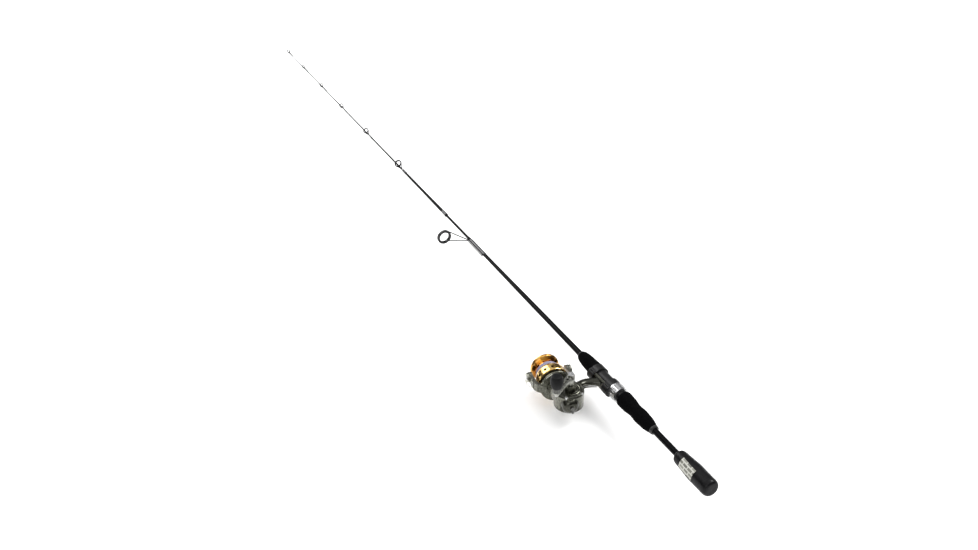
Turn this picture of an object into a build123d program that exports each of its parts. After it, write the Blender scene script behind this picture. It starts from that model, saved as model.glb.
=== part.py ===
from build123d import *
import os
from math import sin, cos, pi, radians

# Two-piece light spinning rod with a small fixed-spool reel.
# Frame: origin at the centre of the butt end on the rod axis, +X to the tip,
# +Y from the rod towards the reel, +Z up with the crank on the +Z side.
# Millimetres. Reel parts are drawn in the reel frame: X along the spool axis.

# ---------------------------------------------------------------- fits
RUN = 0.05               # radial running clearance
PRESS = 0.005            # radial gap of a tight fit
GLUE = 0.02              # radial gap of a glued or wound fit

# ---------------------------------------------------------------- rod
BLANK_R = 4.7            # blank under the handle
BORE = BLANK_R + GLUE    # bore of the handle parts
BUTT_GRIP_R = 13.1
SEAT_R = 10.0
SPIGOT_X0, SPIGOT_X1 = 745.0, 890.0
SLEEVE_X0 = 828.0        # mouth of the tip section
TIP_TWIST = 65.0         # running guides against the stripper guide, degrees

# ---------------------------------------------------------------- reel
AXIS_TILT = 8.0          # spool axis against the rod, degrees
REEL_X, REEL_Y = 262.0, 76.0
SHAFT_R = 2.0
SHAFT_BORE = SHAFT_R + RUN
SLEEVE_R = 4.5           # pinion sleeve that carries the rotor
CASE_R, CASE_Y = 22.0, -7.0
CASE_TOP = 11.0          # joint of housing and side cover
CRANK_Y = -9.0           # crank axis off the spool axis
GEAR_SHAFT_R = 3.5
GEAR_BEARING_R = 6.0
TAIL_Y = -2.0            # axis of the tail and the anti-reverse lever
LEVER_R = 2.5
RAIL_X0, RAIL_X1, RAIL_R, RAIL_Z = -18.8, 13.8, 1.2, -7.0
WHEEL_XY = (-3.0, 0.4)
WHEEL_AXLE_R = 1.5
COVER_SCREWS = [(-15.0, -20.5), (15.5, -20.0), (-18.0, 4.0)]
GEAR_TEETH, PINION_TEETH, WHEEL_TEETH = 47, 9, 19
PIVOT_X = 64.0           # bail pivot along the spool axis
PIVOT_R = 2.5
BAIL_ANGLE = 62.0        # closed bail, from straight ahead towards -Z
CRANK_LEN = 46.0
CRANK_ANGLE = 132.5      # about the crank axis, from the reel's +X
CRANK_ARM_Z = 34.0       # underside of the crank arm

REEL = Location((REEL_X, REEL_Y, 0), (0, 0, -AXIS_TILT))
GEAR_AXIS = Location((0, CRANK_Y, 0))
os.makedirs("parts", exist_ok=True)


# ================================================================ helpers
def save(name, shape):
    export_step(shape, f"parts/{name}.step")


def save_reel(name, shape):
    """Save a piece drawn in the reel frame."""
    save(name, REEL * shape)


def group(*shapes):
    return Compound(children=list(shapes))


def lathe(points):
    """Solid of revolution about X from (x, r) points."""
    return revolve(make_face(Polyline(*points, close=True)), Axis.X, 360)


def lathe_smooth(curve, tail):
    """Revolution about X: smooth outer curve, then straight points back."""
    wire = Spline(*curve) + Polyline(curve[-1], *tail, curve[0])
    return revolve(make_face(wire), Axis.X, 360)


def cyl_x(x0, x1, r, y=0.0, z=0.0):
    return Location(((x0 + x1) / 2, y, z), (0, 90, 0)) * Cylinder(r, x1 - x0)


def cyl_y(y0, y1, r, x=0.0, z=0.0):
    return Location((x, (y0 + y1) / 2, z), (90, 0, 0)) * Cylinder(r, y1 - y0)


def cyl_z(z0, z1, r, x=0.0, y=0.0):
    return Location((x, y, (z0 + z1) / 2)) * Cylinder(r, z1 - z0)


def tube_x(x0, x1, r_out, r_in, y=0.0):
    return cyl_x(x0, x1, r_out, y) - cyl_x(x0 - 1, x1 + 1, r_in, y)


def block(x0, x1, y0, y1, z0, z1):
    return Location(((x0 + x1) / 2, (y0 + y1) / 2, (z0 + z1) / 2)) * Box(
        x1 - x0, y1 - y0, z1 - z0)


def bar(start, end, r):
    """Round bar between two points."""
    start, end = Vector(*start), Vector(*end)
    run = end - start
    return Plane(origin=(start + end) * 0.5, z_dir=run) * Cylinder(r, run.length)


def twist(shape):
    """Turn a guide drawn on +Y to its place round the tip section."""
    return Rotation(TIP_TWIST, 0, 0) * shape


def around(count, radius):
    """Points evenly spaced on a circle."""
    angles = [radians(360 / count * k) for k in range(count)]
    return [(radius * cos(a), radius * sin(a)) for a in angles]


def side_span(side, near, far):
    """Rising pair of Y limits on the side -1 or +1."""
    return sorted((side * near, side * far))


def circles(shape, key):
    """Circular edges in order of key."""
    return shape.edges().filter_by(GeomType.CIRCLE).sort_by(key)


# ================================================================ blanks
# Profiles here and below are (x, r) points.
BUTT_OUTER = [(8, BLANK_R), (345, BLANK_R), (356, 4.45), (391, 4.3), (426, 4.1),
              (481, 3.95), (528, 3.8), (577, 3.5), (628, 3.15), (680, 2.95),
              (735, 2.85), (SPIGOT_X0, 2.15), (SPIGOT_X1, 2.05)]
BUTT_INNER = [(SPIGOT_X1, 1.2), (735, 1.4), (345, 3.2), (8, 3.4)]
save("butt_blank", lathe(BUTT_OUTER + BUTT_INNER))

TIP_OUTER = [(SLEEVE_X0, 2.95), (850, 2.9), (911, 2.5), (974, 2.35), (1000, 2.15),
             (1030, 1.75), (1053, 1.6), (1136, 1.45), (1223, 1.3), (1315, 1.15),
             (1411, 1.05), (1500, 0.95), (1600, 0.85), (1672, 0.8)]
TIP_INNER = [(1672, 0), (898, 0), (892, 2.1), (SLEEVE_X0, 2.145)]
save("tip_blank", lathe(TIP_OUTER + TIP_INNER))

# winding of thread on the mouth of the sleeve
save("ferrule_winding", lathe([(829, 2.98), (829, 3.1), (830, 3.3), (843, 3.25),
                               (845, 3.0), (845, 2.95), (837, 2.96)]))

# ================================================================ grips
save("butt_grip", lathe_smooth(
    [(0, 8.0), (1.0, 10.6), (3.2, 12.4), (6.5, BUTT_GRIP_R)],
    [(42, BUTT_GRIP_R), (52, 12.3), (62, 11.6), (72, 10.9), (76.5, 10.4),
     (78, 9.4), (78, BORE), (7.5, BORE), (7.5, 0), (0, 0)]))
save("butt_grip_collar", lathe([(78.05, BORE), (78.05, 7.6), (80.5, 7.0), (82, 5.6),
                                (82, BORE)]))
save("rear_winding_check", lathe([(139, BORE), (139, 5.6), (140.2, 7.0),
                                  (142.95, 7.3), (142.95, BORE)]))
save("rear_grip", lathe_smooth(
    [(143, 7.35), (147, 7.9), (152, 9.3), (159, 10.35), (167, 10.75), (177, 11.15),
     (186, 10.5), (192, 10.3), (198, 10.9), (203, 11.8), (211, 12.2), (219, 12.4)],
    [(222, 12.2), (223, 11.6), (223, BORE), (143, BORE)]))
save("fore_grip", lathe_smooth(
    [(301, 11.9), (304, 11.6), (313, 10.95), (322, 10.6), (331, 9.9), (338, 8.9),
     (342, 7.9)],
    [(343, 7.2), (343, BORE), (300.05, BORE), (300.05, 11.6)]))
save("fore_winding_check", lathe([(343.05, BORE), (343.05, 7.1), (345.0, 6.6),
                                  (346.5, 5.4), (347, BORE)]))

# plain label lying lengthwise on the butt grip, following its taper
LABEL_LINE = [(30, BUTT_GRIP_R), (42, BUTT_GRIP_R), (52, 12.3), (62, 11.6)]
LABEL_HALF_WIDTH = 8.0
LABEL_TURN = 27          # degrees about the rod, from +Y
label = lathe([(x, r + 0.02) for x, r in LABEL_LINE]
              + [(x, r + 0.14) for x, r in reversed(LABEL_LINE)])
label &= Rotation(LABEL_TURN, 0, 0) * block(
    20, 70, 4, 20, -LABEL_HALF_WIDTH, LABEL_HALF_WIDTH)
save("label", label)

# ================================================================ reel seat
FLAT_Y = 9.0             # flat the reel foot lies on
seat = tube_x(223.05, 300, SEAT_R, BORE)
seat -= block(248.4, 297.4, FLAT_Y, 12, -12, 12)
# three shallow thread turns show behind the lock nut
for x in (224.6, 226.2, 227.8):
    seat -= cyl_x(x, x + 0.6, SEAT_R + 1) - cyl_x(x - 1, x + 2, SEAT_R - 0.35)
save("seat_body", seat)


def hood(x0, x1, pocket_x0, pocket_x1, bore_r):
    """Ring bulging to +Y, with a pocket for one end of the reel foot."""
    shell = cyl_x(x0, x1, 12.4) + cyl_x(x0, x1, 9.6, y=7.2)
    shell -= cyl_x(x0 - 1, x1 + 1, bore_r)
    return shell - block(pocket_x0, pocket_x1, 8.8, 12.6, -8.6, 8.6)


save("moving_hood", hood(246.1, 259.0, 248.0, 260.0, SEAT_R + RUN))
save("fixed_hood", hood(286.0, 299.9, 285.0, 298.0, SEAT_R + PRESS))

lock_nut = tube_x(230.0, 246.0, 12.6, SEAT_R + RUN)
for y, z in around(20, 13.0):
    lock_nut -= cyl_x(232.5, 243.5, 0.9, y, z)
save("lock_nut", lock_nut)

# ================================================================ guides
# Radii as shares of the ring's outer radius
HOLDER_BORE, LEG_TOP, RING_BORE = 0.86, 0.93, 0.70
LEG_ANGLE = radians(52)  # leg tops round the holder, from its lowest point
FOOT_THICK = 1.8         # foot thickness over the wire radius


def guide_frame(ring_x, height, ring_r, root_x, foot_x, blank_r, wire_r, spread):
    """Single-foot guide: ring holder, two legs and a flat foot."""
    half = 0.12 * ring_r + 0.25
    frame = tube_x(ring_x - half, ring_x + half, ring_r, ring_r * HOLDER_BORE, height)
    y0 = blank_r + 0.03
    leg_r = ring_r * LEG_TOP
    for side in (-1, 1):
        top = (ring_x, height - leg_r * cos(LEG_ANGLE), side * leg_r * sin(LEG_ANGLE))
        frame += bar((root_x, y0 + wire_r, side * spread), top, wire_r)
        frame += Location(top) * Sphere(wire_r)
    frame += block(foot_x, root_x + wire_r * 0.7, y0, y0 + wire_r * FOOT_THICK,
                   -spread - wire_r, spread + wire_r)
    return frame - cyl_x(ring_x - half - 1, ring_x + half + 1,
                         ring_r * HOLDER_BORE, y=height)


def guide_ring(ring_x, height, ring_r):
    """Lining ring inside the holder."""
    half = 0.12 * ring_r + 0.45
    return tube_x(ring_x - half, ring_x + half, ring_r * HOLDER_BORE - 0.01,
                  ring_r * RING_BORE, height)


def winding(x0, x1, r, slot_y0, slot_y1, slot_half, slot_x0):
    """Thread winding: a thin sleeve with a raised ridge over the guide foot."""
    sleeve = lathe([(x0, r + GLUE), (x0, r + 0.2), (x0 + 2, r + 0.55),
                    (x1 - 2, r + 0.55), (x1, r + 0.2), (x1, r + GLUE)])
    sleeve += block(x0 + 3, x1 - 0.6, r + 0.1, slot_y1 + 0.45,
                    -slot_half - 0.5, slot_half + 0.5)
    sleeve -= cyl_x(x0 - 1, x1 + 1, r + GLUE)
    return sleeve - block(slot_x0, x1 + 1, slot_y0 - 0.01, slot_y1 + 0.01,
                          -slot_half - 0.01, slot_half + 0.01)


# Stripper guide, on the butt section
STRIPPER_RING = (761.0, 36.0, 12.6)      # x, height over the axis, outer radius
STRIPPER_WIRE, STRIPPER_SPREAD = 0.85, 0.9
save("stripper_guide_frame", guide_frame(
    *STRIPPER_RING, root_x=732.0, foot_x=690.0, blank_r=2.96,
    wire_r=STRIPPER_WIRE, spread=STRIPPER_SPREAD))
save("stripper_guide_ring", guide_ring(*STRIPPER_RING))
save("stripper_winding", winding(
    674.0, 730.0, 2.97, 2.97, 2.99 + FOOT_THICK * STRIPPER_WIRE,
    STRIPPER_WIRE + STRIPPER_SPREAD, 689.9))


def tip_r(x):
    """Outer radius of the tip blank at x."""
    for (xa, ra), (xb, rb) in zip(TIP_OUTER, TIP_OUTER[1:]):
        if xa <= x <= xb:
            return ra + (rb - ra) * (x - xa) / (xb - xa)


# Running guides: x, ring outer radius, ring height over the axis
RUNNING = [(1036.0, 7.0, 11.5), (1201.0, 5.5, 9.0), (1338.0, 4.5, 7.5),
           (1457.0, 4.0, 6.5), (1570.0, 3.5, 5.8)]
SPREAD = 0.35
windings, frames, rings = [], [], []
for x, ring_r, height in RUNNING:
    root_x = x - height * 0.75
    foot_x = root_x - 13
    wire_r = 0.36 + 0.035 * ring_r
    blank_r = tip_r(foot_x - 6)
    frames.append(twist(guide_frame(
        x, height, ring_r, root_x, foot_x, blank_r, wire_r, SPREAD)))
    rings.append(twist(guide_ring(x, height, ring_r)))
    windings.append(twist(winding(
        foot_x - 5, root_x - 0.6, blank_r, blank_r + 0.02,
        blank_r + 0.04 + wire_r * FOOT_THICK, SPREAD + wire_r, foot_x - 0.05)))
save("running_guide_windings", group(*windings))
save("running_guide_frames", group(*frames))
save("running_guide_rings", group(*rings))

# Tip-top: a tube over the end of the blank with a ring on it
TOP_X, TOP_Y, TOP_BORE = 1672.6, 4.4, 3.0
TUBE_BORE, TUBE_END = 0.84, 1672.1
tip_top = lathe([(1655, TUBE_BORE), (1655, 1.25), (1673.5, 1.2), (1674.5, 0.8),
                 (1674.5, 0), (TUBE_END, 0), (TUBE_END, TUBE_BORE)])
tip_top += tube_x(TOP_X - 0.7, TOP_X + 0.7, 3.5, TOP_BORE, TOP_Y)
for side in (-1, 1):
    tip_top += bar((1662, 0.95, side * 0.35), (TOP_X, TOP_Y - 1.7, side * 2.75), 0.4)
tip_top -= cyl_x(1650, TUBE_END, TUBE_BORE) + cyl_x(
    TOP_X - 2, TOP_X + 2, TOP_BORE, y=TOP_Y)
save("tip_top_frame", twist(tip_top))
save("tip_top_ring", twist(
    tube_x(TOP_X - 0.95, TOP_X + 0.95, TOP_BORE - 0.01, 2.3, TOP_Y)))
save("tip_top_winding", lathe([(1648, 0.86), (1648, 1.0), (1649, 1.3), (1654, 1.3),
                               (1654.95, 1.15), (1654.95, 0.86)]))

# ================================================================ reel housing
# Foot and stem in the rod's frame, gear case in the tilted reel frame
FOOT_Y = FLAT_Y + 0.02
foot = block(249.0, 297.0, FOOT_Y, 11.6, -8.0, 8.0)
foot = chamfer(foot.edges().filter_by(Axis.Y), 4.0)
foot += block(261.0, 285.0, FOOT_Y, 13.2, -7.2, 7.2)
# x, y, half length along X, half width along Z
STEM = [(274, 11.0, 10.5, 6.4), (279, 22, 7.0, 5.2), (281, 34, 6.4, 5.2),
        (276, 47, 8.2, 7.2), (268, 60, 13.0, 10.0)]
stem = loft([Plane(origin=(x, y, 0), x_dir=(1, 0, 0), z_dir=(0, 1, 0))
             * Ellipse(half_x, half_z) for x, y, half_x, half_z in STEM])

case = cyl_z(-15, CASE_TOP, CASE_R, 0, CASE_Y)
case = fillet(circles(case, Axis.Z)[0], 5.5)
case += cyl_x(0, 28.5, 15.0)
tail = cyl_x(-27, 0, 12.5, y=TAIL_Y)
case += fillet(circles(tail, Axis.X)[0], 8.5)
case -= block(-40, 40, -60, 60, CASE_TOP, 30)
housing = (REEL * case) + stem + foot
# gear room, bores along the spool axis, crank bores, rail bore, wheel axle bore
housing -= REEL * (
    cyl_z(-12.5, 12, 19.0, 0, CASE_Y)
    + cyl_x(10, 40, 4.6) + cyl_x(14, 20, 8.0) + cyl_x(20.9, 27.1, 9.0)
    + cyl_z(-14, 0, GEAR_BEARING_R, 0, CRANK_Y) + cyl_z(-16, -10, 4.0, 0, CRANK_Y)
    + cyl_x(RAIL_X0, RAIL_X1, RAIL_R, z=RAIL_Z)
    + cyl_z(-12.6, -12, WHEEL_AXLE_R, *WHEEL_XY)
    + cyl_z(-14.5, -10, WHEEL_AXLE_R, *WHEEL_XY))
for x, y in COVER_SCREWS:
    housing -= REEL * cyl_z(3, 12, 1.2, x, y)
# anti-reverse lever socket in the tail
housing -= REEL * cyl_x(-40, -17.0, LEVER_R + RUN, y=TAIL_Y)
save("reel_housing", housing)

COVER_Z0 = CASE_TOP + 0.02
HEAD_Z = 13.6            # underside of the screw heads
cover = cyl_z(COVER_Z0, 15.0, CASE_R, 0, CASE_Y)
cover = fillet(circles(cover, Axis.Z)[-1], 3.0)
cover += cyl_z(COVER_Z0, 22, 9.0, 0, CRANK_Y)
cover = cover - cyl_z(10, 14.2, GEAR_BEARING_R, 0, CRANK_Y) - cyl_z(10, 30, 4.2, 0, CRANK_Y)
for x, y in COVER_SCREWS:
    cover -= cyl_z(10, 20, 1.25, x, y)
    cover -= cyl_z(HEAD_Z, 20, 2.4, x, y)
save_reel("side_cover", cover)
save_reel("cover_screws", group(*[
    cyl_z(5, HEAD_Z, 1.15, x, y) + cyl_z(HEAD_Z, 14.9, 2.2, x, y)
    - block(x - 1.6, x + 1.6, y - 0.3, y + 0.3, 14.2, 15.5)
    for x, y in COVER_SCREWS]))
save_reel("socket_cap", cyl_z(-17.0, -15.02, 8.0, 0, CRANK_Y)
          + cyl_z(-15.1, -14.1, 3.9, 0, CRANK_Y))
save_reel("slide_guide_rail", cyl_x(RAIL_X0, RAIL_X1, RAIL_R, z=RAIL_Z))

# ================================================================ drive train
# Face gear on the crank axis, its teeth pointing to -Z
GEAR_Z = 5.2
TEETH_R0, TEETH_R1 = 9.6, 13.6
SHAFT_TOP = CRANK_ARM_Z + 5.5
tooth_width = pi * TEETH_R0 / GEAR_TEETH     # half the pitch at the inner ends
gear = cyl_z(GEAR_Z, 8.5, 14.0) + cyl_z(8.5, 10.6, 6.0)
gear += cyl_z(-13.9, SHAFT_TOP, GEAR_SHAFT_R)
gear = gear + [
    Rotation(0, 0, 360 / GEAR_TEETH * k)
    * Location(((TEETH_R0 + TEETH_R1) / 2, 0, GEAR_Z - 0.3))
    * Box(TEETH_R1 - TEETH_R0, tooth_width, 0.8) for k in range(GEAR_TEETH)]
gear -= cyl_z(CRANK_ARM_Z + 0.5, 46, 1.6)
gear += cyl_z(-11.0, -9.9, 3.85)
save_reel("drive_gear", GEAR_AXIS * gear)


def bearing(z0, z1, r_in, r_out):
    """Ring along Z with a shallow groove in each face."""
    ring = cyl_z(z0, z1, r_out) - cyl_z(z0 - 1, z1 + 1, r_in)
    groove_out = r_in + (r_out - r_in) * 0.75
    groove_in = r_in + (r_out - r_in) * 0.3
    low = cyl_z(z0 - 1, z0 + 0.35, groove_out) - cyl_z(z0 - 2, z0 + 1, groove_in)
    high = cyl_z(z1 - 0.35, z1 + 1, groove_out) - cyl_z(z1 - 1, z1 + 2, groove_in)
    return ring - low - high


save("drive_bearings", REEL * GEAR_AXIS * group(*[
    bearing(z0, z1, GEAR_SHAFT_R + RUN, GEAR_BEARING_R - 0.01)
    for z0, z1 in ((-13.98, -11.2), (11.2, 14.18))]))

pinion = cyl_x(3.0, 12.5, 3.2)
for k in range(PINION_TEETH):
    pinion += Rotation(360 / PINION_TEETH * k, 0, 0) * block(
        3.0, 12.5, 2.9, 4.1, -0.55, 0.55)
pinion += cyl_x(12.5, 36.0, SLEEVE_R)
pinion -= cyl_x(2, 40, SHAFT_R + 0.06)
save_reel("pinion", pinion)
Z_TO_X = Rotation(0, 90, 0)
save_reel("pinion_bearing", Z_TO_X * bearing(14.02, 19.98, SLEEVE_R + RUN, 7.99))
save_reel("one_way_clutch", Z_TO_X * bearing(21.0, 27.0, SLEEVE_R + RUN, 8.98))

save_reel("main_shaft", cyl_x(-9.0, 92.0, SHAFT_R))
slider = block(-9.0, -4.0, -3.4, 3.4, -8.9, 3.2)
slider -= cyl_x(-10, 0, SHAFT_R + PRESS)
slider -= cyl_x(-10, 0, RAIL_R + RUN, z=RAIL_Z)
save_reel("oscillation_slider", slider)

# Toothed wheel with an axle below and an off-centre pin above
wheel = cyl_z(-11.1, -9.9, 5.1)
wheel = wheel + [Rotation(0, 0, 360 / WHEEL_TEETH * k) * Location((5.3, 0, -10.5))
                 * Box(0.9, 0.75, 1.2) for k in range(WHEEL_TEETH)]
wheel += cyl_z(-14.4, -11.0, WHEEL_AXLE_R - RUN)
wheel += Location((3.4, 0, 0)) * cyl_z(-9.95, -9.2, 0.9)
save_reel("oscillation_wheel", Location((*WHEEL_XY, 0)) * wheel)

lever = cyl_x(-26.0, -17.3, LEVER_R, y=TAIL_Y) + cyl_x(-29.8, -27.4, 3.4, y=TAIL_Y)
lever += cyl_x(-27.5, -26.0, LEVER_R, y=TAIL_Y) + block(
    -29.8, -27.4, -3.3, -0.7, -7.5, -2)
save_reel("anti_reverse_lever", lever)

# ================================================================ rotor
ARM_IN, ARM_OUT = 26.6, 31.6
ARM_PROFILE = [          # x, distance from the spool axis
    (29.5, 12), (29.5, 23.5), (34, 28.5), (41, ARM_OUT), (PIVOT_X, ARM_OUT),
    (PIVOT_X, ARM_IN), (43.5, ARM_IN), (38.0, 24.3), (36.0, 19.0), (33.0, 17.0),
    (33.0, 12)]
rotor = cyl_x(29.5, 33.0, 24.0) + cyl_x(32.5, 45.5, 19.5)
rotor -= cyl_x(33.0, 50, 17.5)
rotor += cyl_x(29.5, 34.5, 8.0)
for side in (-1, 1):
    face = make_face(Polyline(*[(x, side * y, 0) for x, y in ARM_PROFILE], close=True))
    arm = extrude(face, 6.5, both=True)
    arm += cyl_y(*side_span(side, ARM_IN, ARM_OUT), 7.8, x=PIVOT_X)
    arm -= cyl_x(33.0, 36.6, 17.5)
    rotor += arm
    rotor -= cyl_y(*side_span(side, 25, 33), PIVOT_R, x=PIVOT_X)
rotor -= cyl_x(20, 60, SLEEVE_R + PRESS)
save_reel("rotor", rotor)
save_reel("rotor_nut", Location((36.3, 0, 0), (0, 90, 0)) * extrude(
    RegularPolygon(6.6, 6), 1.75, both=True) - cyl_x(30, 42, SHAFT_R + 0.1)
    - cyl_x(30, 36.0, SLEEVE_R + PRESS))

arm_covers = []
for side in (-1, 1):
    plate = block(41.5, 50.3, *side_span(side, ARM_OUT + 0.01, ARM_OUT + 0.9), -5.4, 5.4)
    arm_covers.append(fillet(plate.edges().filter_by(Axis.Y), 2.0))
save_reel("rotor_arm_covers", group(*arm_covers))

# ================================================================ bail
PLATE_IN, PLATE_OUT = 31.9, 34.6     # plates at the pivots, distance from the axis
ROLLER_D = 15.0                      # line roller from the pivot
ROLLER_BORE = 1.5


def save_bail(name, shape):
    """Save a piece drawn with the bail forward, turned to its closed position."""
    save_reel(name, Location((PIVOT_X, 0, 0)) * Rotation(0, BAIL_ANGLE, 0) * shape)


pivot_screws = []
for side in (-1, 1):
    pivot_screws.append(
        cyl_y(*side_span(side, 27.0, PLATE_OUT + 0.05), PIVOT_R - 0.01, x=PIVOT_X)
        + cyl_y(*side_span(side, PLATE_OUT + 0.05, PLATE_OUT + 1.3), 4.0, x=PIVOT_X)
        - block(PIVOT_X - 2.6, PIVOT_X + 2.6,
                *side_span(side, PLATE_OUT + 0.7, PLATE_OUT + 2), -0.4, 0.4))
save_reel("bail_pivot_screws", group(*pivot_screws))

# Plate on the -Y side that carries the roller
bail_arm = cyl_y(-PLATE_OUT, -PLATE_IN, 7.2) + cyl_y(-PLATE_OUT, -PLATE_IN, 4.2, x=ROLLER_D)
bail_arm += block(0, ROLLER_D, -PLATE_OUT, -PLATE_IN, -4.6, 4.6) - cyl_y(
    -40, -20, 3.0, x=ROLLER_D + 3.0, z=6.0) - cyl_y(
    -40, -20, 3.0, x=ROLLER_D + 3.0, z=-6.0)
bail_arm -= cyl_y(-40, -20, PIVOT_R + RUN)
bail_arm -= cyl_y(-40, -20, ROLLER_BORE, x=ROLLER_D)
save_bail("bail_arm", bail_arm)
save_bail("roller_pin", cyl_y(-35.0, -26.2, ROLLER_BORE - 0.01, x=ROLLER_D)
          + cyl_y(-36.0, -PLATE_OUT - 0.01, 2.6, x=ROLLER_D))
roller = cyl_y(-31.75, -29.3, 3.3, x=ROLLER_D)
groove = Location((ROLLER_D, -30.5, 0), (90, 0, 0)) * Torus(4.2, 1.15)
roller = roller - groove - cyl_y(-33, -28, ROLLER_BORE + RUN, x=ROLLER_D)
save_bail("line_roller", roller)

# Plate on the +Y side
bail_lever = cyl_y(PLATE_IN, PLATE_OUT, 7.0) + block(
    0, 9.5, PLATE_IN, PLATE_OUT, -3.2, 3.2)
bail_lever += cyl_y(PLATE_IN, PLATE_OUT, 3.2, x=9.5)
bail_lever -= cyl_y(20, 40, PIVOT_R + RUN)
save_bail("bail_lever", bail_lever)

# Wire centre line: distance from the pivot, y
BAIL_WIRE = [(15.0, -28.0), (22.0, -27.8), (32.5, -24.0), (40.5, -14.0), (43.5, 0.0),
             (40.5, 13.5), (32.0, 25.0), (22.0, 31.0), (12.9, 33.2)]
path = Spline(*[(x, y, 0) for x, y in BAIL_WIRE], tangents=[(1, -0.1, 0), (-1, 0.1, 0)])
bail_wire = sweep(Plane(origin=path @ 0, z_dir=path % 0) * Circle(0.85), path=path)
bail_wire += cyl_y(-29.2, -26.5, 2.6, x=ROLLER_D)
bail_wire -= cyl_y(-40, -20, ROLLER_BORE, x=ROLLER_D)
save_bail("bail_wire", bail_wire)

# ================================================================ spool
spool = lathe([
    (42.0, 21.2), (42.0, 23.0), (43.0, 23.5), (55.5, 23.5), (58.6, 22.4),
    (60.4, 20.0), (61.2, 17.0), (75.0, 17.0), (76.6, 19.0), (78.6, 21.6),
    (80.8, 22.4), (82.8, 22.3), (84.2, 20.4), (84.2, 18.2), (83.2, 14.2),
    (83.2, 10.5), (66.0, 10.5), (66.0, SHAFT_BORE), (54.0, SHAFT_BORE), (54.0, 21.2)])
# holes through the skirt, the front lip and the line barrel
for k in range(12):
    spool -= Rotation(30 * k, 0, 0) * cyl_y(18, 30, 2.5, x=48.6)
for k in range(6):
    spool -= Rotation(60 * k + 30, 0, 0) * cyl_x(80, 90, 1.5, z=16.0)
for k in range(10):
    spool -= Rotation(36 * k, 0, 0) * cyl_y(14.2, 19, 1.6, x=73.0)
save_reel("spool", spool)
save_reel("wound_line", lathe([(63.0, 17.02), (63.0, 17.9), (63.8, 18.5), (69.6, 18.5),
                               (70.4, 17.9), (70.4, 17.02)]))
save_reel("drag_washers", group(*[
    tube_x(x, x + 1.6, 10.3, SHAFT_BORE) for x in (66.1, 68.2, 70.3)]))
save_reel("spool_clicker", tube_x(51.5, 53.9, 10.0, SHAFT_BORE) - cyl_x(50, 52.6, 8.6))

drag_knob = cyl_x(84.6, 95.0, 10.6)
drag_knob = fillet(circles(drag_knob, Axis.X)[-1], 2.5)
for y, z in around(8, 12.4):
    drag_knob -= cyl_x(86.5, 96, 3.0, y, z)
drag_knob += cyl_x(73.0, 84.7, 8.2)
drag_knob -= cyl_x(70, 92.3, SHAFT_BORE)
save_reel("drag_knob", drag_knob)

# ================================================================ crank
# Arm frame: X along the arm, z = 0 on its underside; knob frame at the arm's end
CRANK = GEAR_AXIS * Rotation(0, 0, CRANK_ANGLE)
ARM = CRANK * Location((0, 0, CRANK_ARM_Z))
KNOB = ARM * Location((CRANK_LEN, 0, 0))
ARM_THICK = 4.0
HUB_R = 5.2
PIN_HOLE_R = 2.0

hub = cyl_z(22.2, 39.1, HUB_R) - cyl_z(21, 46, GEAR_SHAFT_R + PRESS)
hub = fillet(circles(hub, SortBy.RADIUS)[-1], 0.8)
save_reel("crank_hub", CRANK * hub)

arm_outline = make_face(Polyline(
    (3.0, -5.6), (20, -4.2), (CRANK_LEN, -4.0), (CRANK_LEN, 4.0), (20, 4.2),
    (3.0, 5.6), close=True))
crank = extrude(arm_outline, ARM_THICK)
crank += cyl_z(0, ARM_THICK, 4.0, CRANK_LEN)
crank -= block(9, CRANK_LEN - 9, -1.5, 1.5, 2.4, 5.5)
crank -= cyl_z(-9.5, 10.5, HUB_R + 0.02)
crank -= cyl_z(-9.5, 10.5, PIN_HOLE_R, CRANK_LEN)
save_reel("crank_arm", ARM * crank)

crank_screw = cyl_z(5.55, 7.1, 4.6) + cyl_z(0.7, 5.6, 1.58)
save_reel("crank_screw", ARM * (crank_screw - block(-3, 3, -0.5, 0.5, 6.5, 8.5)))

save_reel("knob_pin", KNOB * (cyl_z(-0.9, 30.0, PIN_HOLE_R - 0.01)
                              + cyl_z(-1.3, -0.01, 3.2) + cyl_z(30.0, 31.0, 3.0)))

collar = cyl_z(4.5, 11.5, 5.6) - cyl_z(0.5, 20.5, PIN_HOLE_R + RUN)
for x, y in around(10, 5.9):
    collar -= cyl_z(5.7, 12.5, 0.7, x, y)
save_reel("knob_collar", KNOB * collar)

# (z, r) profile, turned about X and then stood up along Z
knob = lathe_smooth(
    [(11.55, 6.2), (14.5, 7.9), (20.5, 9.3), (27.5, 9.0), (32.0, 7.4)],
    [(32.9, 5.0), (32.9, 3.4), (29.7, 3.4), (29.7, PIN_HOLE_R + RUN),
     (11.55, PIN_HOLE_R + RUN)])
save_reel("handle_knob", KNOB * (Rotation(0, -90, 0) * knob))
save_reel("knob_cap", KNOB * cyl_z(31.8, 33.1, 3.38))
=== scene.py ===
"""Spinning rod and reel lying on a white floor.

The rod's axis is the X axis: the butt end is at x = 0 and the tip points to +X.
The reel hangs off the rod towards +Y, and its own axis is tilted a little from the rod's.
Profiles and paths are in millimetres; the scene is in metres.
"""
import bpy
import bmesh
from math import cos, dist, pi, radians, sin
from mathutils import Matrix, Vector, noise


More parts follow.
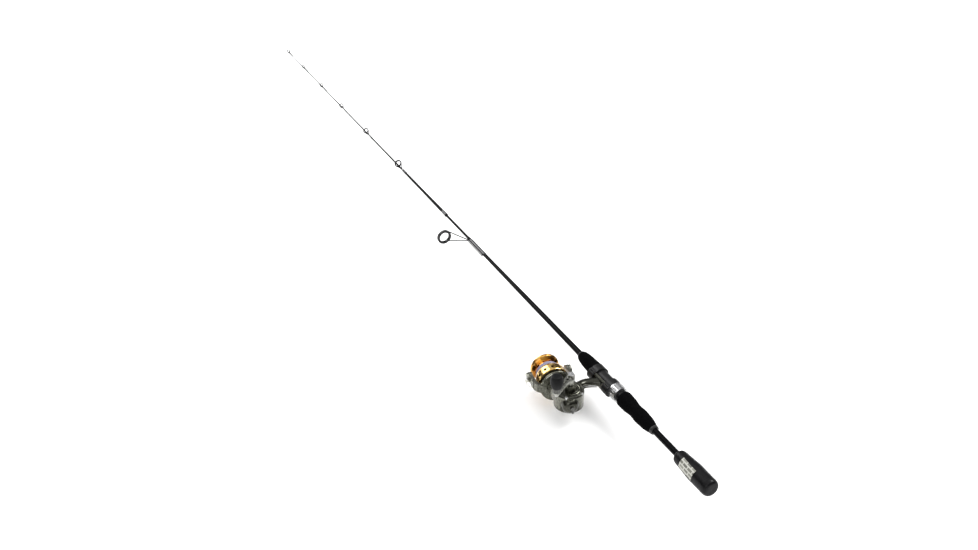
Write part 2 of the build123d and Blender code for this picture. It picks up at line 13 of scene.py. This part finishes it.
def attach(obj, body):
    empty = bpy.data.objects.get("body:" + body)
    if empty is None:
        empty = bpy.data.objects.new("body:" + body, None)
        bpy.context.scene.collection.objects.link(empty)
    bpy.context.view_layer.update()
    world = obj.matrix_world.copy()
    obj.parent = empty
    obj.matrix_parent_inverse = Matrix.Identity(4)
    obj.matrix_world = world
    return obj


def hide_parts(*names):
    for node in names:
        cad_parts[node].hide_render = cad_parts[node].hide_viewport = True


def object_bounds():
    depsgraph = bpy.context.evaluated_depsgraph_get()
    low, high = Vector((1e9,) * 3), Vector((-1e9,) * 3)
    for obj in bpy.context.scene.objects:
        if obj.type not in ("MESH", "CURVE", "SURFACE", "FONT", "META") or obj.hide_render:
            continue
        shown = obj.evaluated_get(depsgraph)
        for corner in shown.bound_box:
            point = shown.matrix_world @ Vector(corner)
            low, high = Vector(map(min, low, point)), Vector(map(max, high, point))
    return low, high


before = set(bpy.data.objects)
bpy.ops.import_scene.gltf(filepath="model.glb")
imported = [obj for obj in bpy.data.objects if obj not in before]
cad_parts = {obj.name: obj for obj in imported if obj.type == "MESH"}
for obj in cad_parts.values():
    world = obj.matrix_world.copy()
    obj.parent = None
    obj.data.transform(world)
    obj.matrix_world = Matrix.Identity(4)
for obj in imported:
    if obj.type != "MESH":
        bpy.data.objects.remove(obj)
CAD_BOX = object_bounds()
scene = bpy.context.scene

MM = 0.001


# ------------------------------------------------------------ material builder
def set_ramp(color_ramp, stops):
    """Give a colour ramp its (position, rgb) stops."""
    while len(color_ramp.elements) < len(stops):
        color_ramp.elements.new(0.5)
    for element, (position, color) in zip(color_ramp.elements, stops):
        element.position = position
        element.color = (*color, 1)


class Surface:
    """A principled material with procedural textures in object coordinates."""

    def __init__(self, name, color, rough=0.5, metal=0.0, coat=0.0, coat_rough=0.08, spec=0.5):
        self.material = bpy.data.materials.new(name)
        self.material.use_nodes = True
        self.tree = self.material.node_tree
        self.tree.nodes.clear()
        output = self.add("ShaderNodeOutputMaterial")
        # plain values; a texture linked later takes over from them
        self.shader = self.add("ShaderNodeBsdfPrincipled", {
            "Base Color": (*color, 1), "Roughness": rough, "Metallic": metal,
            "Coat Weight": coat, "Coat Roughness": coat_rough, "Specular IOR Level": spec})
        self.link(self.shader.outputs[0], output.inputs[0])
        self.coords = self.add("ShaderNodeTexCoord")
        self.normal = None

    def add(self, kind, inputs=None):
        """New node, with input values by socket name."""
        node = self.tree.nodes.new(kind)
        for name, value in (inputs or {}).items():
            node.inputs[name].default_value = value
        return node

    def link(self, source, target):
        self.tree.links.new(source, target)

    def texture(self, kind, inputs, output=0, stretch=(1, 1, 1), turn=(0, 0, 0)):
        node = self.add(kind, inputs)
        mapping = self.add("ShaderNodeMapping", {"Scale": stretch, "Rotation": turn})
        self.link(self.coords.outputs["Object"], mapping.inputs["Vector"])
        self.link(mapping.outputs[0], node.inputs["Vector"])
        return node.outputs[output]

    def noise(self, scale, detail=4, stretch=(1, 1, 1)):
        return self.texture("ShaderNodeTexNoise",
                            {"Scale": scale, "Detail": detail, "Roughness": 0.6},
                            stretch=stretch)

    def cells(self, scale):
        """Distance to the nearest Voronoi cell point."""
        return self.texture("ShaderNodeTexVoronoi", {"Scale": scale})

    def bands(self, scale, distortion=0.0, turn=(0, 0, 0)):
        """Sine bands across X, before turning."""
        return self.texture("ShaderNodeTexWave", {"Scale": scale, "Distortion": distortion},
                            output=1, turn=turn)

    def ramp(self, value, stops):
        node = self.add("ShaderNodeValToRGB")
        set_ramp(node.color_ramp, stops)
        self.link(value, node.inputs[0])
        return node.outputs[0]

    def remap(self, value, to, span=(0.0, 1.0)):
        """Map the values in span onto the range to."""
        node = self.add("ShaderNodeMapRange", {"From Min": span[0], "From Max": span[1],
                                               "To Min": to[0], "To Max": to[1]})
        self.link(value, node.inputs[0])
        return node.outputs[0]

    def mix(self, factor, first, second):
        """Blend two colours, each an rgb tuple or a socket."""
        node = self.add("ShaderNodeMix")
        node.data_type = "RGBA"
        # inputs 6 and 7 are the colour pair A and B
        for color, index in ((first, 6), (second, 7)):
            if isinstance(color, tuple):
                node.inputs[index].default_value = (*color, 1)
            else:
                self.link(color, node.inputs[index])
        self.link(factor, node.inputs[0])
        return node.outputs[2]

    def base(self, color):
        self.link(color, self.shader.inputs["Base Color"])

    def rough(self, value, low, high):
        """Roughness from low to high over the middle of a noise."""
        self.link(self.remap(value, to=(low, high), span=(0.3, 0.7)),
                  self.shader.inputs["Roughness"])

    def bump(self, value, strength, distance):
        """Add a bump (distance in metres) on top of any earlier ones."""
        node = self.add("ShaderNodeBump", {"Strength": strength, "Distance": distance})
        self.link(value, node.inputs["Height"])
        if self.normal is not None:
            self.link(self.normal, node.inputs["Normal"])
        self.normal = node.outputs[0]
        self.link(self.normal, self.shader.inputs["Normal"])

    def edge_wear(self, base, bright):
        """Lighter colour on convex edges, broken up by noise."""
        geometry = self.add("ShaderNodeNewGeometry")
        edges = self.remap(geometry.outputs["Pointiness"], to=(0, 1), span=(0.505, 0.56))
        patches = self.noise(scale=420, detail=3)
        product = self.add("ShaderNodeMath")
        product.operation = "MULTIPLY"
        self.link(edges, product.inputs[0])
        self.link(self.remap(patches, to=(0.1, 1.2), span=(0.3, 0.7)), product.inputs[1])
        return self.mix(product.outputs[0], base, bright)

    def varied(self, color, amount, scale):
        """The colour, drifting darker and lighter by a fraction."""
        dark = tuple(c * (1 - amount) for c in color)
        light = tuple(min(1, c * (1 + amount)) for c in color)
        return self.ramp(self.noise(scale, detail=5), [(0.3, dark), (0.7, light)])


# ------------------------------------------------------------ materials
def graphite():
    mat = Surface("graphite", (0.003, 0.003, 0.0035), rough=0.3, coat_rough=0.1, spec=0.1)
    weave = mat.bands(scale=520, turn=(0, 0, 0.6))
    mat.base(mat.mix(mat.remap(weave, to=(0, 0.35)),
                     (0.002, 0.002, 0.0025), (0.009, 0.009, 0.01)))
    mat.rough(mat.noise(scale=90, detail=5), low=0.18, high=0.4)
    mat.bump(mat.noise(scale=260, stretch=(0.3, 1, 1)), strength=0.12, distance=0.00006)
    return mat.material


def eva_foam():
    mat = Surface("eva_foam", (0.005, 0.005, 0.006), rough=0.85, spec=0.05)
    pores = mat.cells(scale=1500)
    mat.base(mat.mix(mat.remap(pores, to=(0.0, 1.0), span=(0.05, 0.7)),
                     (0.008, 0.008, 0.0085), (0.0015, 0.0015, 0.002)))
    mat.rough(mat.noise(scale=300), low=0.68, high=0.95)
    mat.bump(pores, strength=0.45, distance=0.00025)
    mat.bump(mat.noise(scale=220, detail=6), strength=0.3, distance=0.0004)
    return mat.material


def butt_foam():
    mat = Surface("butt_foam", (0.004, 0.004, 0.0045), rough=0.42, spec=0.15,
                  coat=0.22, coat_rough=0.18)
    pores = mat.cells(scale=1900)
    mat.base(mat.mix(mat.remap(pores, to=(0.0, 1.0), span=(0.05, 0.7)),
                     (0.012, 0.012, 0.013), (0.003, 0.003, 0.0035)))
    mat.rough(mat.noise(scale=140, detail=5), low=0.34, high=0.62)
    mat.bump(pores, strength=0.22, distance=0.00018)
    return mat.material


def thread_winding():
    mat = Surface("thread_winding", (0.01, 0.01, 0.011), rough=0.22, coat=1.0, coat_rough=0.04)
    threads = mat.bands(scale=950)
    mat.base(mat.mix(mat.remap(threads, to=(0, 0.6)),
                     (0.006, 0.006, 0.007), (0.035, 0.035, 0.038)))
    mat.bump(threads, strength=0.25, distance=0.00012)
    mat.bump(mat.noise(scale=120), strength=0.2, distance=0.0003)
    return mat.material


def anodised_gold():
    mat = Surface("anodised_gold", (0.80, 0.42, 0.06), rough=0.2, metal=1.0,
                  coat=0.35, coat_rough=0.05)
    color = mat.ramp(mat.noise(scale=75), [(0.3, (0.26, 0.08, 0.006)),
                                           (0.55, (0.52, 0.21, 0.016)),
                                           (0.75, (0.78, 0.40, 0.06))])
    mat.base(mat.edge_wear(color, bright=(1.0, 0.78, 0.35)))
    mat.rough(mat.noise(scale=700, detail=3), low=0.12, high=0.3)
    return mat.material


def wound_line():
    mat = Surface("wound_line", (0.24, 0.23, 0.34), rough=0.3, coat=0.3)
    strands = mat.bands(scale=1300, distortion=1.2, turn=(0, 0, radians(8)))
    mat.base(mat.mix(mat.remap(strands, to=(0, 1)), (0.12, 0.11, 0.2), (0.42, 0.41, 0.52)))
    mat.bump(strands, strength=0.5, distance=0.0002)
    return mat.material


def label_paper():
    """Plain paper label: pale grey with soft darker blocks, no lettering."""
    mat = Surface("label_paper", (0.4, 0.4, 0.37), rough=0.5, spec=0.3, coat=0.15)
    # the label faces 27 degrees up from +Y, so its plane is x and the tilted z
    blocks = mat.texture("ShaderNodeTexBrick", {
        "Scale": 100.0, "Color1": (0.22, 0.22, 0.19, 1), "Color2": (0.08, 0.08, 0.07, 1),
        "Mortar": (0.46, 0.46, 0.42, 1), "Mortar Size": 0.09,
        "Brick Width": 1.1, "Row Height": 0.5}, turn=(radians(90 - 27), 0, 0))
    mat.base(mat.mix(mat.remap(mat.noise(scale=240), to=(0, 0.2)), blocks, (0.36, 0.36, 0.33)))
    mat.bump(mat.noise(scale=900), strength=0.1, distance=0.00006)
    return mat.material


def carbon_disc():
    mat = Surface("carbon_disc", (0.03, 0.03, 0.03), rough=0.5)
    mat.base(mat.texture("ShaderNodeTexChecker", {
        "Scale": 900, "Color1": (0.015, 0.015, 0.016, 1), "Color2": (0.06, 0.06, 0.062, 1)}))
    return mat.material


def plastic(name, color, rough, grain=2200, strength=0.12, coat=0.0, wear=None):
    """Moulded plastic; grain is the bump's noise scale, wear its edge colour."""
    mat = Surface(name, color, rough, coat=coat, spec=0.3)
    tint = mat.varied(color, amount=0.25, scale=70)
    if wear:
        tint = mat.edge_wear(tint, wear)
    mat.base(tint)
    mat.rough(mat.noise(scale=180, detail=5), low=rough * 0.8, high=rough * 1.25)
    mat.bump(mat.noise(grain, detail=3), strength, distance=0.0001)
    return mat.material


def metal(name, color, rough, brushed=(1, 1, 1), wear=None, amount=0.12, metallic=1.0):
    """Bare metal; brushed stretches its grain, amount is the colour drift."""
    mat = Surface(name, color, rough, metallic)
    tint = mat.varied(color, amount, scale=110)
    if wear:
        tint = mat.edge_wear(tint, wear)
    mat.base(tint)
    grain = mat.noise(scale=900, stretch=brushed)
    mat.rough(grain, low=max(0.04, rough * 0.65), high=rough * 1.45)
    mat.bump(grain, strength=0.1, distance=0.00005)
    return mat.material


def flake_paint(name, color, flake, wear, rough=0.3):
    mat = Surface(name, color, rough, metal=0.75, coat=0.5, coat_rough=0.12)
    flakes = mat.remap(mat.cells(scale=5200), to=(0, 0.6), span=(0.1, 0.8))
    mat.base(mat.edge_wear(mat.mix(flakes, color, flake), wear))
    mat.rough(mat.noise(scale=150, detail=5), low=rough * 0.75, high=rough * 1.4)
    mat.bump(mat.noise(scale=1500, detail=3), strength=0.06, distance=0.00005)
    return mat.material


def floor_white():
    mat = Surface("floor_white", (0.93, 0.93, 0.93), rough=0.7, spec=0.15)
    mat.base(mat.ramp(mat.noise(scale=3, detail=3),
                      [(0.3, (0.90, 0.90, 0.90)), (0.7, (0.94, 0.94, 0.94))]))
    return mat.material


def dress(material, parts):
    """Put one material on the named CAD parts and return it."""
    for part in parts.split():
        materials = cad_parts[part].data.materials
        materials.clear()
        materials.append(material)
    return material


dress(graphite(), "butt_blank tip_blank")
EVA = dress(eva_foam(), "rear_grip fore_grip")
BUTT = dress(butt_foam(), "butt_grip")
dress(thread_winding(),
      "stripper_winding running_guide_windings tip_top_winding ferrule_winding")
dress(anodised_gold(), "spool")
LINE = dress(wound_line(), "wound_line")
dress(label_paper(), "label")
dress(plastic("seat_plastic", (0.004, 0.004, 0.0045), rough=0.34, coat=0.05,
              wear=(0.02, 0.02, 0.02)), "seat_body fixed_hood moving_hood")
dress(metal("satin_silver", (0.34, 0.34, 0.34), rough=0.3, brushed=(0.06, 1, 1),
            wear=(0.8, 0.8, 0.8)), "lock_nut")
dress(metal("grey_trim", (0.02, 0.02, 0.021), rough=0.35, metallic=0.6,
            wear=(0.10, 0.10, 0.10)), "butt_grip_collar rear_winding_check fore_winding_check")
dress(metal("black_guide_steel", (0.004, 0.004, 0.0045), rough=0.28, metallic=0.4,
            wear=(0.06, 0.06, 0.06)), "stripper_guide_frame running_guide_frames tip_top_frame")
dress(plastic("guide_ceramic", (0.004, 0.004, 0.0045), rough=0.16, coat=0.08),
      "stripper_guide_ring running_guide_rings tip_top_ring")
BODY = dress(flake_paint("reel_gunmetal", (0.020, 0.020, 0.014), flake=(0.058, 0.058, 0.042),
                         rough=0.24, wear=(0.20, 0.20, 0.165)),
             "reel_housing side_cover rotor")
dress(flake_paint("reel_dark", (0.014, 0.014, 0.015), flake=(0.04, 0.04, 0.042),
                  wear=(0.14, 0.14, 0.13)), "anti_reverse_lever rotor_arm_covers")
BRIGHT = dress(metal("reel_bright", (0.17, 0.17, 0.135), rough=0.18, wear=(0.5, 0.5, 0.43)),
               "socket_cap bail_arm bail_lever")
dress(metal("chrome_wire", (0.78, 0.78, 0.76), rough=0.09, amount=0.05),
      "bail_wire line_roller")
dress(metal("machined_steel", (0.5, 0.5, 0.5), rough=0.28, wear=(0.75, 0.75, 0.75)),
      "main_shaft cover_screws drive_bearings pinion_bearing one_way_clutch "
      "slide_guide_rail bail_pivot_screws roller_pin knob_pin rotor_nut crank_screw")
dress(metal("cast_zinc", (0.42, 0.42, 0.44), rough=0.42), "drive_gear")
dress(plastic("acetal", (0.05, 0.05, 0.052), rough=0.35),
      "oscillation_slider oscillation_wheel spool_clicker")
dress(plastic("knob_rubber", (0.003, 0.003, 0.0035), rough=0.55, grain=1400, strength=0.35),
      "handle_knob knob_cap")
dress(plastic("collar_plastic", (0.05, 0.05, 0.045), rough=0.35, wear=(0.16, 0.16, 0.15)),
      "knob_collar")
dress(plastic("drag_plastic", (0.02, 0.02, 0.022), rough=0.3, coat=0.2, wear=(0.1, 0.1, 0.1)),
      "drag_knob")
dress(metal("brass_cut", (0.72, 0.5, 0.2), rough=0.28), "pinion")
dress(carbon_disc(), "drag_washers")
dress(metal("crank_silver", (0.17, 0.17, 0.155), rough=0.22, wear=(0.45, 0.45, 0.41)),
      "crank_arm crank_hub")


# ------------------------------------------------------------ mesh helpers
def new_object(name, bm, *materials):
    """Smooth-shaded object from a bmesh, which is freed."""
    mesh = bpy.data.meshes.new(name)
    bm.normal_update()
    bm.to_mesh(mesh)
    bm.free()
    for polygon in mesh.polygons:
        polygon.use_smooth = True
    obj = bpy.data.objects.new(name, mesh)
    scene.collection.objects.link(obj)
    for material in materials:
        mesh.materials.append(material)
    return obj


def bridge(bm, ring, following):
    """Band of quads between two closed rings of vertices."""
    count = len(ring)
    for k in range(count):
        after = (k + 1) % count
        bm.faces.new((ring[k], ring[after], following[after], following[k]))


def lathe(name, profile, material, segments=120, ripple=None, place=Matrix.Identity(4)):
    """Closed solid of revolution about X from (x, radius); ripple(x, angle, radius) adds on."""
    bm = bmesh.new()
    rings = []
    for x, radius in profile:
        ring = []
        for k in range(segments):
            angle = 2 * pi * k / segments
            r = max(0.0, radius + (ripple(x, angle, radius) if ripple else 0))
            ring.append(bm.verts.new(place @ (Vector((x, r * cos(angle), r * sin(angle))) * MM)))
        rings.append(ring)
    for ring, following in zip(rings, rings[1:] + rings[:1]):
        bridge(bm, ring, following)
    bmesh.ops.recalc_face_normals(bm, faces=bm.faces)
    return new_object(name, bm, material)


def catmull_rom(p0, p1, p2, p3, t):
    """Spline from p1 (t = 0) to p2 (t = 1), for numbers or vectors."""
    return 0.5 * ((2 * p1) + (p2 - p0) * t + (2 * p0 - 5 * p1 + 4 * p2 - p3) * t * t
                  + (3 * p1 - p0 - 3 * p2 + p3) * t ** 3)


def smooth_profile(points, step):
    """Catmull-Rom curve through (x, radius) points, sampled about every step."""
    curve = []
    padded = [points[0]] + points + [points[-1]]
    for i in range(len(points) - 1):
        near = padded[i:i + 4]
        count = max(1, int(dist(near[1], near[2]) / step))
        for j in range(count):
            curve.append(tuple(catmull_rom(*values, j / count) for values in zip(*near)))
    curve.append(points[-1])
    return curve


def sleeve(outer, bore, step):
    """Smoothed outer profile closed by a straight bore."""
    return smooth_profile(outer, step) + [(outer[-1][0], bore), (outer[0][0], bore)]


def tube(name, points, radii, material, place, segments=14, flat=1.0):
    """Closed bar swept through points, one radius per point; flat scales its second axis."""
    samples = 8     # per span between points
    end_taper = 0.55
    points = [Vector(point) for point in points]
    padded = [points[0]] + points + [points[-1]]
    path, path_radii = [], []
    for i, (start, end) in enumerate(zip(radii, radii[1:])):
        for j in range(samples):
            t = j / samples
            path.append(catmull_rom(*padded[i:i + 4], t))
            path_radii.append(start + (end - start) * t)
    path.append(points[-1])
    path_radii.append(radii[-1])

    bm = bmesh.new()
    rings = []
    last = len(path) - 1
    for i, (centre, radius) in enumerate(zip(path, path_radii)):
        along = (path[min(i + 1, last)] - path[max(i - 1, 0)]).normalized()
        side = along.cross(Vector((0, 0, 1)))
        # a path parallel to Z has no such side, so X stands in
        side = side.normalized() if side.length > 1e-4 else Vector((1, 0, 0))
        over = side.cross(along).normalized()
        taper = end_taper if i in (0, last) else 1.0
        ring = []
        for k in range(segments):
            angle = 2 * pi * k / segments
            offset = (side * cos(angle) + over * sin(angle) * flat) * radius * taper
            ring.append(bm.verts.new(place @ ((centre + offset) * MM)))
        rings.append(ring)
    for ring, following in zip(rings, rings[1:]):
        bridge(bm, ring, following)
    bm.faces.new(rings[0][::-1])
    bm.faces.new(rings[-1])
    bmesh.ops.recalc_face_normals(bm, faces=bm.faces)
    return new_object(name, bm, material)


def join(name, objects):
    """One object from several single-material ones, which are removed."""
    bm = bmesh.new()
    materials = []
    for obj in objects:
        first_face = len(bm.faces)
        material = obj.data.materials[0]
        if material not in materials:
            materials.append(material)
        bm.from_mesh(obj.data)
        bm.faces.ensure_lookup_table()
        for face in bm.faces[first_face:]:
            face.material_index = materials.index(material)
    joined = new_object(name, bm, *materials)
    for obj in objects:
        bpy.data.objects.remove(obj)
    return joined


# ------------------------------------------------------------ grips
GRIP_BORE = 4.73    # radius
GRIP_STEP = 0.8     # profile sampling
AXIS_RADIUS = 0.01  # stands for the axis in a closed end
BUTT_CAP = 7.6      # solid length at the butt end

# outer profiles: (x, radius)
REAR_GRIP = [
    (143.0, 6.6), (143.4, 7.3), (147, 7.95), (152, 9.3), (159, 10.35), (167, 10.75),
    (177, 11.2), (186, 10.5), (192, 10.3), (198, 10.9), (203, 11.8), (211, 12.25),
    (219, 12.45), (222, 12.2), (223.0, 11.2)]
FORE_GRIP = [
    (300.1, 11.0), (300.8, 11.8), (304, 11.65), (313, 10.95), (322, 10.6), (331, 9.9),
    (338, 8.9), (342, 7.9), (343.0, 6.9)]
BUTT_GRIP = [
    (0.0, AXIS_RADIUS), (0.0, 4.0), (0.05, 7.6), (0.5, 9.6), (1.6, 11.3), (3.4, 12.4),
    (6.5, 13.05), (12, 13.1), (26, 13.1), (42, 13.1), (52, 12.3), (62, 11.6), (72, 10.9),
    (76.5, 10.2), (78.0, 9.2)]


def foam(x, angle, radius):
    """Slight hand-worn unevenness of turned foam."""
    broad = Vector((x * 0.09, 2.2 * cos(angle), 2.2 * sin(angle)))
    fine = Vector((x * 0.7, 9 * cos(angle), 9 * sin(angle)))
    return -0.10 + 0.09 * noise.noise(broad) + 0.035 * noise.noise(fine)


def grip_foam(x, angle, radius):
    """Foam unevenness outside, none in the bore."""
    return foam(x, angle, radius) if radius > GRIP_BORE + 0.5 else 0


def butt_ripple(x, angle, radius):
    """Softer unevenness; the end face and the band from x = 28 to 64 stay true."""
    worn = radius > 6 and x > 0.4 and not 28 < x < 64
    return foam(x, angle, radius) * 0.6 if worn else 0


def grip(name, part, profile, material, ripple):
    obj = lathe(name, profile, material, ripple=ripple)
    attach(obj, "butt_section")
    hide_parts(part)


grip("rear_grip_foam", "rear_grip", sleeve(REAR_GRIP, GRIP_BORE, GRIP_STEP), EVA, grip_foam)
grip("fore_grip_foam", "fore_grip", sleeve(FORE_GRIP, GRIP_BORE, GRIP_STEP), EVA, grip_foam)
grip("butt_grip_foam", "butt_grip",
     smooth_profile(BUTT_GRIP, GRIP_STEP)
     + [(BUTT_GRIP[-1][0], GRIP_BORE), (BUTT_CAP, GRIP_BORE), (BUTT_CAP, AXIS_RADIUS)],
     BUTT, butt_ripple)

# ------------------------------------------------------------ reel detail
# the reel's frame: X along the spool axis, +Y away from the rod
ROD = Matrix.Identity(4)
REEL = Matrix.Translation((0.262, 0.076, 0)) @ Matrix.Rotation(-radians(8), 4, "Z")


def side_cover_ridges():
    """Arcs on the +Z side cover, from the rear past the rod side to the rotor side."""
    centre_y = -7
    radii = [0.4, 0.8, 1.0, 1.1, 1.1, 1.1, 1.0, 0.8, 0.4]
    spans = len(radii) - 1
    # arc radius, z, start and end in degrees, material
    arcs = [(19.6, 14.6, 150, 330, BODY),
            (15.6, 15.1, 165, 318, BRIGHT),
            (12.0, 15.2, 185, 300, BODY)]
    ridges = []
    for i, (arc, z, start, end, material) in enumerate(arcs):
        angles = [radians(start + (end - start) * k / spans) for k in range(spans + 1)]
        points = [(arc * cos(angle), centre_y + arc * sin(angle), z) for angle in angles]
        ridges.append(tube(f"ridge_{i}", points, radii, material, REEL, flat=0.7))
    return join("side_cover_ridges", ridges)


def stem_ribs():
    """Ribs up the front and rear of the stem, mirrored in Z, in the rod's frame; the front ribs
    in the bright metal are painted highlight lines, the rear ones take the body paint.
    """
    # x, y, distance from the z = 0 plane, radius
    front = [(283.4, 18, 2.6, 0.6), (286.0, 27, 2.2, 1.0), (285.6, 36, 2.4, 1.1),
             (281.6, 46, 3.8, 1.1), (277.0, 53, 5.2, 0.5)]
    rear = [(267.2, 18, 2.6, 0.6), (271.2, 27, 2.0, 1.0), (273.2, 36, 2.4, 1.1),
            (268.2, 46, 4.4, 0.5)]
    ribs = []
    for i, side in enumerate((1, -1)):
        # painted highlight: the front ribs are bright metal to read as highlight lines, the rear
        # ribs stay in the body paint
        for prefix, stations, material in (("rib", front, BRIGHT), ("ribb", rear, BODY)):
            points = [(x, y, side * z) for x, y, z, _ in stations]
            radii = [station[3] for station in stations]
            ribs.append(tube(f"{prefix}_{i}", points, radii, material, ROD))
    return join("stem_ribs", ribs)


def rotor_arm_frames():
    """Raised frame round the window in each rotor arm."""
    x_rear, x_front = 42.4, 49.4
    arm_y = 32.5
    half_width = 4.4
    bars = []
    for side in (-1, 1):
        y = side * arm_y
        corners = [Vector((x_rear, y, -half_width)), Vector((x_front, y, -half_width)),
                   Vector((x_front, y, half_width)), Vector((x_rear, y, half_width))]
        for k in range(4):
            start, end = corners[k], corners[(k + 1) % 4]
            points = [start, start.lerp(end, 0.33), start.lerp(end, 0.66), end]
            bars.append(tube(f"fr_{side}_{k}", points, [0.5] * 4, BRIGHT, REEL, segments=10))
    return join("rotor_arm_frames", bars)


def line_turns(x, angle, radius):
    """Helical turns of line, with a slower swell; the inner face stays plain."""
    if radius <= 17.2:
        return 0
    pitch, swell = 0.55, 3.1
    return (0.16 * sin(2 * pi * (x / pitch + angle / (2 * pi)))
            + 0.05 * sin(2 * pi * x / swell + 2 * angle)) * 0.8


def line_on_spool():
    # x, radius
    outer = [(63.05, 17.4), (63.5, 18.0), (65, 18.3), (68.5, 18.3), (69.9, 17.9),
             (70.35, 17.3)]
    return lathe("line_on_spool", sleeve(outer, bore=17.05, step=0.1), LINE,
                 ripple=line_turns, place=REEL)


def rotor_rim():
    """Bright rolled edge round the rotor's base."""
    centre_x, ring_radius, bead_radius, sides = 32.6, 24.1, 0.75, 14
    angles = [2 * pi * k / sides for k in range(sides)]
    profile = [(centre_x + bead_radius * cos(angle), ring_radius + bead_radius * sin(angle))
               for angle in angles]
    return lathe("rotor_rim", profile, BRIGHT, segments=128, place=REEL)


ridges = side_cover_ridges()
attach(ridges, "butt_section")

ribs = stem_ribs()
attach(ribs, "butt_section")

arm_frames = rotor_arm_frames()
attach(arm_frames, "rotor_body")

line = line_on_spool()
rim = rotor_rim()
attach(rim, "rotor_body")
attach(line, "spool_body")
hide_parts("wound_line")


# ------------------------------------------------------------ stage, light, camera
def add_floor():
    gap = 0.0005    # below the lowest CAD point
    bm = bmesh.new()
    bmesh.ops.create_grid(bm, x_segments=40, y_segments=40, size=14)
    floor = new_object("floor", bm, floor_white())
    floor.location = (1.0, 0, CAD_BOX[0][2] - gap)


def add_world():
    """Even white light; glossy rays see a bright ceiling and darker walls instead."""
    world = bpy.data.worlds.new("studio")
    scene.world = world
    world.use_nodes = True
    nodes, links = world.node_tree.nodes, world.node_tree.links
    even = nodes["Background"]
    even.inputs["Color"].default_value = (1, 1, 1, 1)
    even.inputs["Strength"].default_value = 0.95
    studio = nodes.new("ShaderNodeBackground")
    coords = nodes.new("ShaderNodeTexCoord")
    split = nodes.new("ShaderNodeSeparateXYZ")
    ramp = nodes.new("ShaderNodeValToRGB")
    links.new(coords.outputs["Generated"], split.inputs[0])
    links.new(split.outputs["Z"], ramp.inputs[0])
    # height, colour
    set_ramp(ramp.color_ramp, [(0.0, (0.10, 0.10, 0.10)), (0.35, (0.06, 0.06, 0.065)),
                               (0.6, (0.35, 0.35, 0.36)), (0.85, (0.95, 0.95, 0.97))])
    links.new(ramp.outputs[0], studio.inputs[0])
    light_path = nodes.new("ShaderNodeLightPath")
    mix = nodes.new("ShaderNodeMixShader")
    links.new(light_path.outputs["Is Glossy Ray"], mix.inputs[0])
    links.new(even.outputs[0], mix.inputs[1])
    links.new(studio.outputs[0], mix.inputs[2])
    links.new(mix.outputs[0], nodes["World Output"].inputs[0])


def area_light(name, place, target, size, power):
    light = bpy.data.lights.new(name, "AREA")
    light.energy = power
    light.size = size
    obj = bpy.data.objects.new(name, light)
    scene.collection.objects.link(obj)
    obj.location = place
    aim = Vector(target) - Vector(place)
    obj.rotation_euler = aim.to_track_quat("-Z", "Y").to_euler()


def add_camera():
    """Camera above the butt end on the reel's side, looking along the rod."""
    lens = bpy.data.cameras.new("camera")
    camera = bpy.data.objects.new("camera", lens)
    scene.collection.objects.link(camera)
    # columns: right, up, backward, position
    camera.matrix_world = Matrix(((-0.4451, 0.4694, -0.7626, -1.0904),
                                  (-0.8955, -0.2333, 0.3790, 0.8693),
                                  (0.0, 0.8516, 0.5242, 1.1712),
                                  (0, 0, 0, 1)))
    lens.sensor_width = 36
    lens.lens = 49.69
    lens.clip_start = 0.01
    lens.clip_end = 60
    scene.camera = camera


add_floor()
add_world()
area_light("key", place=(0.2, -1.6, 1.9), target=(0.4, 0.03, 0), size=1.0, power=30)
area_light("fill", place=(-1.2, 1.6, 1.2), target=(0.25, 0.05, 0), size=1.6, power=12)
area_light("rim", place=(2.2, 0.6, 1.2), target=(0.5, 0.03, 0), size=1.2, power=14)
add_camera()
scene.view_settings.view_transform = "Standard"
scene.view_settings.look = "Medium High Contrast"
